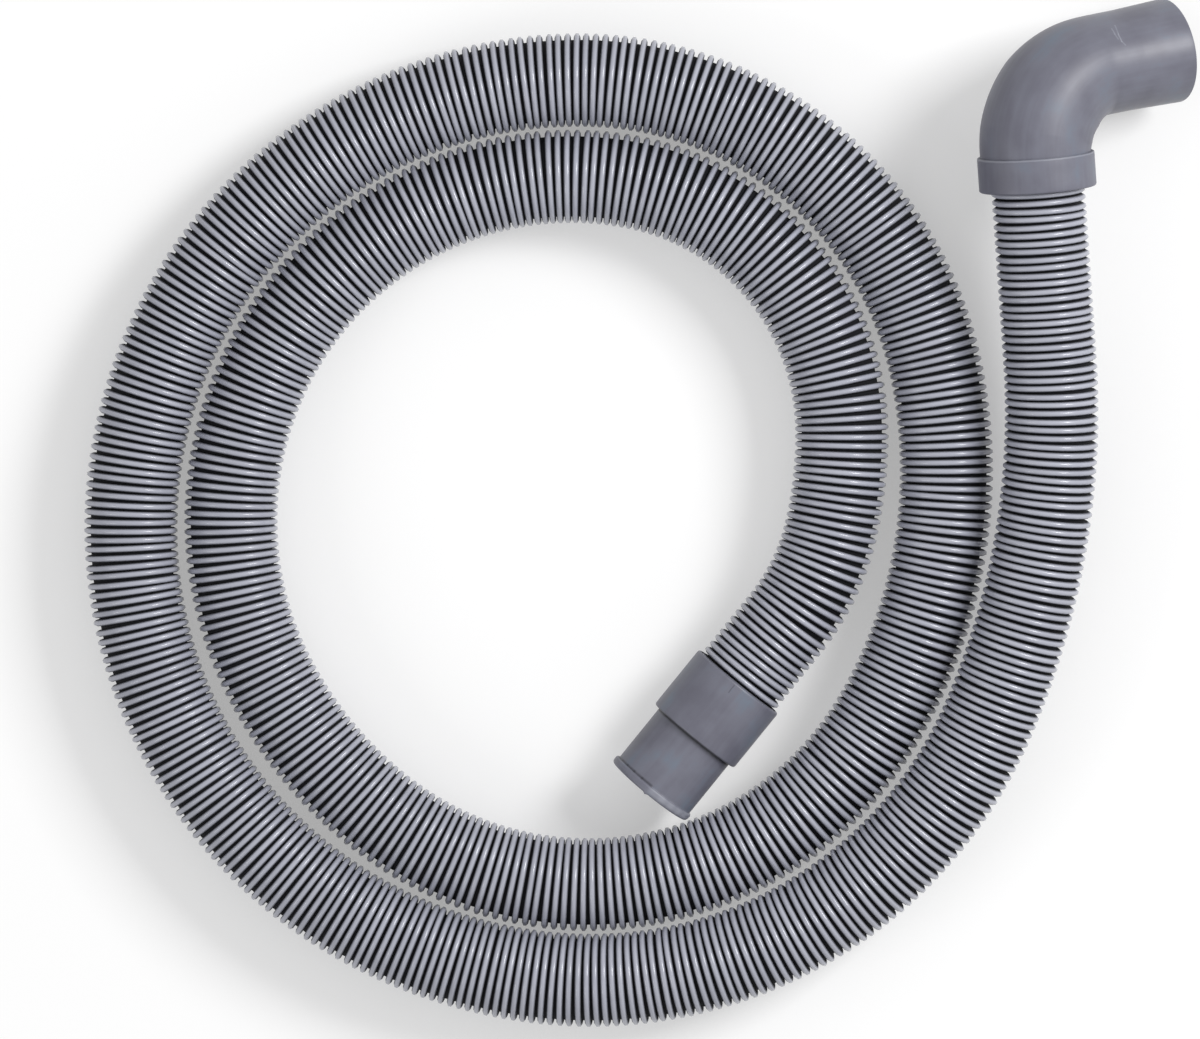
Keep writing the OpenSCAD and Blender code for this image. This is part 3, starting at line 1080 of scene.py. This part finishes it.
@dataclass
class Connector:
    """The straight connector: a cuff over the hose and a narrower spigot with a bead."""

    cuff_length: float = 0.0285
    cuff_radius: float = 0.02065
    lip: float = 0.0022
    lip_radius: float = 0.0193
    cavity_radius: float = 0.01975
    flange: float = 0.0022
    spigot_radius: float = 0.0182
    spigot_bore: float = 0.0162
    spigot_length: float = 0.029
    spigot_root: float = 0.0173
    bead_radius: float = 0.0194
    bead_length: float = 0.0032
    seam: float = 0.0005
    snug: float = 0.00005
    # Roundings
    bead_edge: float = 0.0014
    outer_edge: float = 0.0012
    bore_edge: float = 0.0004
    edge: float = 0.0003
    fine_edge: float = 0.0001
    # The end as it left the mould: how far back that reaches, how far the top edge sags
    # outward, and its burr
    worn_run: float = 0.012
    sag: float = 0.0006
    burr: float = 0.0014
    burr_deg: float = 4.0
    burr_width_deg: float = 2.4
    # One half of the bead is drawn back and in, each by a mean and a wave
    drawn_back_mm: tuple[float, float] = (0.25, 0.12)
    drawn_in_mm: tuple[float, float] = (0.2, 0.08)
    waves: int = 7
    # Marks: chains of chords on the bead (a painted highlight and painted shade), painted shade
    # just past the cuff's end, and a nick in its mouth
    chord_deg: int = 15
    chords: int = 6
    bead_highlight_deg: int = -2
    bead_shade_deg: int = 4
    seam_shade_past: float = 0.3 * MM
    nick: tuple[float, float] = (0.0012, 0.0050)
    nick_deg: float = 2
    around: int = 180
    cuff_step: float = 0.003
    spigot_step: float = 0.0015

    @property
    def tip(self) -> float:
        """Distance from the cuff's mouth to the spigot's end."""
        return self.cuff_length + self.spigot_length

    def axis(self) -> FittingAxis:
        """Straight centreline from the swivel's place, with the upward direction as its side."""
        place, ahead = (np.array(joint_named("cuff_swivel")[key]) for key in ("pos_m", "axis"))
        return FittingAxis(place, unit(ahead), side=np.array([0.0, 0.0, 1.0]))

    def marks(self) -> tuple[Mark, ...]:
        """Painted shade in the seam, a nick at the cuff's mouth, and painted highlight and shade on the bead.

        The bead's painted highlight on its lit half and the painted shade at its root on the other half are chains
        of chords.

        Returns:
            The marks.
        """
        bead, root = self.tip - self.bead_length / 2, self.tip - self.bead_length
        seam, step = self.cuff_length + self.seam_shade_past, self.chord_deg
        # Tone, distance, first angle, step, radius, width and strength of each chain
        chains = (
            # Painted highlight on the bead's lit half, and painted shade at its root on the shaded half
            (Tone.PALE, bead, self.bead_highlight_deg, -step, self.bead_radius, 2.6 * MM, 0.42),
            (Tone.DARK, root, self.bead_shade_deg, step, self.spigot_radius, 0.9 * MM, 0.6),
        )
        return (
            # Painted shade: a dark ring on the spigot just past the cuff's end
            Mark(Tone.DARK, (seam, seam), (0, 0), self.cuff_radius, width=0.95 * MM,
                 strength=0.95, ring=True),
            Mark(Tone.DARK, self.nick, (self.nick_deg,) * 2, self.cuff_radius, width=0.35 * MM,
                 strength=0.45),
            *(Mark(tone, (place, place), (first + k * step, first + (k + 1) * step), *line)
              for tone, place, first, step, *line in chains for k in range(self.chords)),
        )

    def worn_tip(self, s: Grid, r: Grid, angle: Grid) -> tuple[Grid, Grid]:
        """Shapes the spigot's end as it left the mould.

        Over its last stretch the end is pushed out by sag * w^2 * cos angle,
        where w runs from 0 to 1. One half of the bead is drawn in by a fraction
        of a millimetre with a slow wave, and a burr stands out in a narrow bell
        curve.

        Args:
            s: distances from the cuff's mouth.
            r: radii.
            angle: angles from the top.

        Returns:
            Moved distances and radii.
        """
        w = np.clip((s - self.tip) / self.worn_run + 1, 0, 1)
        on_bead = np.clip((r - self.spigot_radius) / (self.bead_radius - self.spigot_radius), 0, 1)
        last = np.clip((s - self.tip + self.bead_length) / self.bead_length, 0, 1) * on_bead
        drawn = np.clip(-np.sin(angle), 0, 1) ** 0.5
        wave = np.sin(self.waves * angle) * drawn
        away = (np.degrees(angle) - self.burr_deg + 180) % 360 - 180
        bell = np.exp(-((away / self.burr_width_deg) ** 2))
        back, inward = (
            (mean + swing * wave) * MM * drawn
            for mean, swing in (self.drawn_back_mm, self.drawn_in_mm))
        on = s + self.sag * w**2 * np.cos(angle) + last * (self.burr * bell - back)
        return on, r - on_bead * w * inward

    def cuff(self) -> Shell:
        """The cuff, with a lip at the hose and a flange round the spigot."""
        length, root = self.cuff_length, self.spigot_radius + self.snug
        return Shell("connector_cuff", "cuff", [
            (0.0, self.lip_radius, self.fine_edge), (0.0, self.cuff_radius, self.outer_edge),
            (length, self.cuff_radius, self.outer_edge),
            (length, root + self.seam, self.fine_edge), (length - self.seam, root, 0.0),
            (length - self.flange, root, 0.0), (length - self.flange, self.cavity_radius, 0.0),
            (self.lip, self.cavity_radius, 0.0), (self.lip, self.lip_radius, self.edge),
        ], self.cuff_step, self.around)

    def spigot(self) -> Shell:
        """The spigot, with a root inside the cuff and a bead on its end."""
        root_end, root_radius = self.cuff_length - self.flange, self.cavity_radius - self.snug
        return Shell("connector_spigot", "spigot", [
            (self.spigot_root, self.spigot_bore, 0.0), (self.spigot_root, root_radius, 0.0),
            (root_end, root_radius, 0.0), (root_end, self.spigot_radius, 0.0),
            (self.tip - self.bead_length, self.spigot_radius, self.edge),
            (self.tip - self.bead_length, self.bead_radius, self.outer_edge),
            (self.tip, self.bead_radius, self.bead_edge),
            (self.tip, self.spigot_bore, self.bore_edge),
        ], self.spigot_step, self.around, self.worn_tip)

    def build(self) -> list[Piece]:
        """Makes and dresses the connector's pieces.

        Returns:
            The cuff and the spigot.
        """
        axis = self.axis()
        plastic = InjectionMouldedPolypropylene(
            "injection_moulded_connector", self.marks()).build()
        shells = (self.cuff(), self.spigot())
        return [shell.build(axis, plastic, Body.CONNECTOR) for shell in shells]


@dataclass(frozen=True)
class HiddenRings:
    """Seals and split rings inside the fittings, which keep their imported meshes."""

    seals: tuple[str, ...] = ("elbow_seal", "cuff_seal")
    grab_rings: tuple[str, ...] = ("elbow_grab_ring", "cuff_grab_ring")

    def build(self) -> None:
        """Dresses the rings."""
        rubber = PlainMoulding("nitrile_rubber", "#2b2b2d", roughness=0.6, ior=1.52).build()
        acetal = PlainMoulding("natural_acetal", "#cfcfca", roughness=0.4, ior=1.48).build()
        kinds = ((self.seals, rubber, Slot.SEAL), (self.grab_rings, acetal, Slot.RING))
        for names, material, slot in kinds:
            for name in names:
                dress(frame["nodes"][name], material)
                LOG.info("ring: %s", name)


# ---- studio ----


@dataclass(frozen=True)
class Lamp:
    """A square area lamp that looks at the coil's middle."""

    name: str
    azimuth_deg: float
    elevation_deg: float
    size: float
    power: float
    distance: float = 2.6

    def build(self) -> None:
        """Adds the lamp."""
        around, up = math.radians(self.azimuth_deg), math.radians(self.elevation_deg)
        place = self.distance * Vector(
            (math.cos(up) * math.cos(around), math.cos(up) * math.sin(around), math.sin(up)))
        data = bpy.data.lights.new(self.name, "AREA")
        data.size, data.energy = self.size, self.power
        lamp = bpy.data.objects.new(self.name, data)
        lamp.location = place
        lamp.rotation_euler = place.to_track_quat("Z", "Y").to_euler()
        bpy.context.scene.collection.objects.link(lamp)


@dataclass(frozen=True)
class Studio:
    """Camera almost straight above the coil, a lamp on each side and a white floor."""

    # Width that the camera takes in at the coil
    view_width: float = 0.4872
    centre: tuple[float, float, float] = (0.0142, 0.0002, 0.019)
    distance: float = 8.0
    lean_x_deg: float = 1.3
    lean_y_deg: float = 2.5
    sensor_mm: float = 36.0
    clip: tuple[float, float] = (0.1, 100.0)
    lamps: tuple[Lamp, ...] = (
        Lamp("key", azimuth_deg=27.0, elevation_deg=42.0, size=0.9, power=46.5),
        Lamp("fill", azimuth_deg=210.0, elevation_deg=34.0, size=1.0, power=11.0),
    )
    sky_strength: float = 0.54
    floor_size: float = 6.0
    floor_white: str = "#fdfdfd"
    floor_grey: str = "#a8a8a8"
    floor_glow: float = 0.37

    def add_camera(self) -> None:
        """Adds the camera: far away with a long lens, leaning a little towards +X and +Y."""
        data = bpy.data.cameras.new("camera")
        data.sensor_width = self.sensor_mm
        data.lens = self.sensor_mm * self.distance / self.view_width
        data.clip_start, data.clip_end = self.clip
        camera = bpy.data.objects.new("camera", data)
        lean_x, lean_y = math.radians(self.lean_x_deg), math.radians(self.lean_y_deg)
        back = Vector((math.tan(lean_x), math.tan(lean_y), 1.0)).normalized()
        right = Vector((0.0, 1.0, 0.0)).cross(back).normalized()
        turn = Matrix((right, back.cross(right), back)).transposed()
        camera.location = Vector(self.centre) + back * self.distance
        camera.rotation_mode = "QUATERNION"
        camera.rotation_quaternion = turn.to_quaternion()
        bpy.context.scene.collection.objects.link(camera)
        bpy.context.scene.camera = camera

    def seen(self, add: Adder) -> Node:
        """A node that is 1 for rays from the camera, a reflection or a clear piece.

        Args:
            add: add_node for the tree.

        Returns:
            The node.
        """
        rays = add("LightPath").outputs
        either = add("Math", {"operation": "MAXIMUM"}, in_0=rays["Is Camera Ray"],
                     in_1=rays["Is Glossy Ray"])
        return add("Math", {"operation": "MAXIMUM"}, in_0=either,
                   in_1=rays["Is Transmission Ray"])

    def add_sky(self) -> None:
        """Adds an even sky that the camera and reflections see as white."""
        world = bpy.data.worlds.new("sky")
        bpy.context.scene.world = world
        world.use_nodes = True
        world.node_tree.nodes.clear()
        add = partial(add_node, world.node_tree)
        lit = add("Background", Color=linear(WHITE), Strength=self.sky_strength)
        white = add("Background", Color=linear(WHITE), Strength=1.0)
        mix = add("MixShader", in_0=self.seen(add), in_1=lit, in_2=white)
        add("OutputWorld", Surface=mix)

    def add_floor(self) -> None:
        """Adds a floor that is white to the camera and still shows soft shadows.

        It throws back less light than it shows, so that the hose's sides and
        grooves stay dark.
        """
        half = self.floor_size / 2
        points = half * np.array([(-1, -1, 0), (1, -1, 0), (1, 1, 0), (-1, 1, 0)], float)
        floor = make_piece("floor", points, np.array([[0, 1, 2, 3]]))
        material, add = new_material("white_board")
        seen = self.seen(add)
        paint = add("Mix", {"data_type": "RGBA"}, in_0=seen, in_6=linear(self.floor_grey),
                    in_7=linear(self.floor_white))
        share = add("Math", {"operation": "MULTIPLY"}, in_0=seen, in_1=self.floor_glow)
        board = add("BsdfDiffuse", Color=paint.outputs[2])
        glow = add("Emission", Color=linear(WHITE), Strength=1.0)
        mix = add("MixShader", in_0=share, in_1=board, in_2=glow)
        add("OutputMaterial", Surface=mix)
        floor.data.materials.append(material)

    def build(self) -> None:
        """Adds the lamps, the sky and the floor, and sets the plain view transform."""
        for lamp in self.lamps:
            lamp.build()
        self.add_sky()
        self.add_floor()
        bpy.context.scene.view_settings.view_transform = "Standard"


def main() -> None:
    """Builds the camera and the hose first, then the fittings, and last the studio."""
    logging.basicConfig(level=logging.INFO, format="%(name)s: %(message)s")
    studio = Studio()
    studio.add_camera()
    hose = RibbedHose()
    tube = hose.build()
    Elbow().build()
    connector = Connector().build()
    HiddenRings().build()
    hose.declare()
    studio.build()


if __name__ == "__main__":
    main()
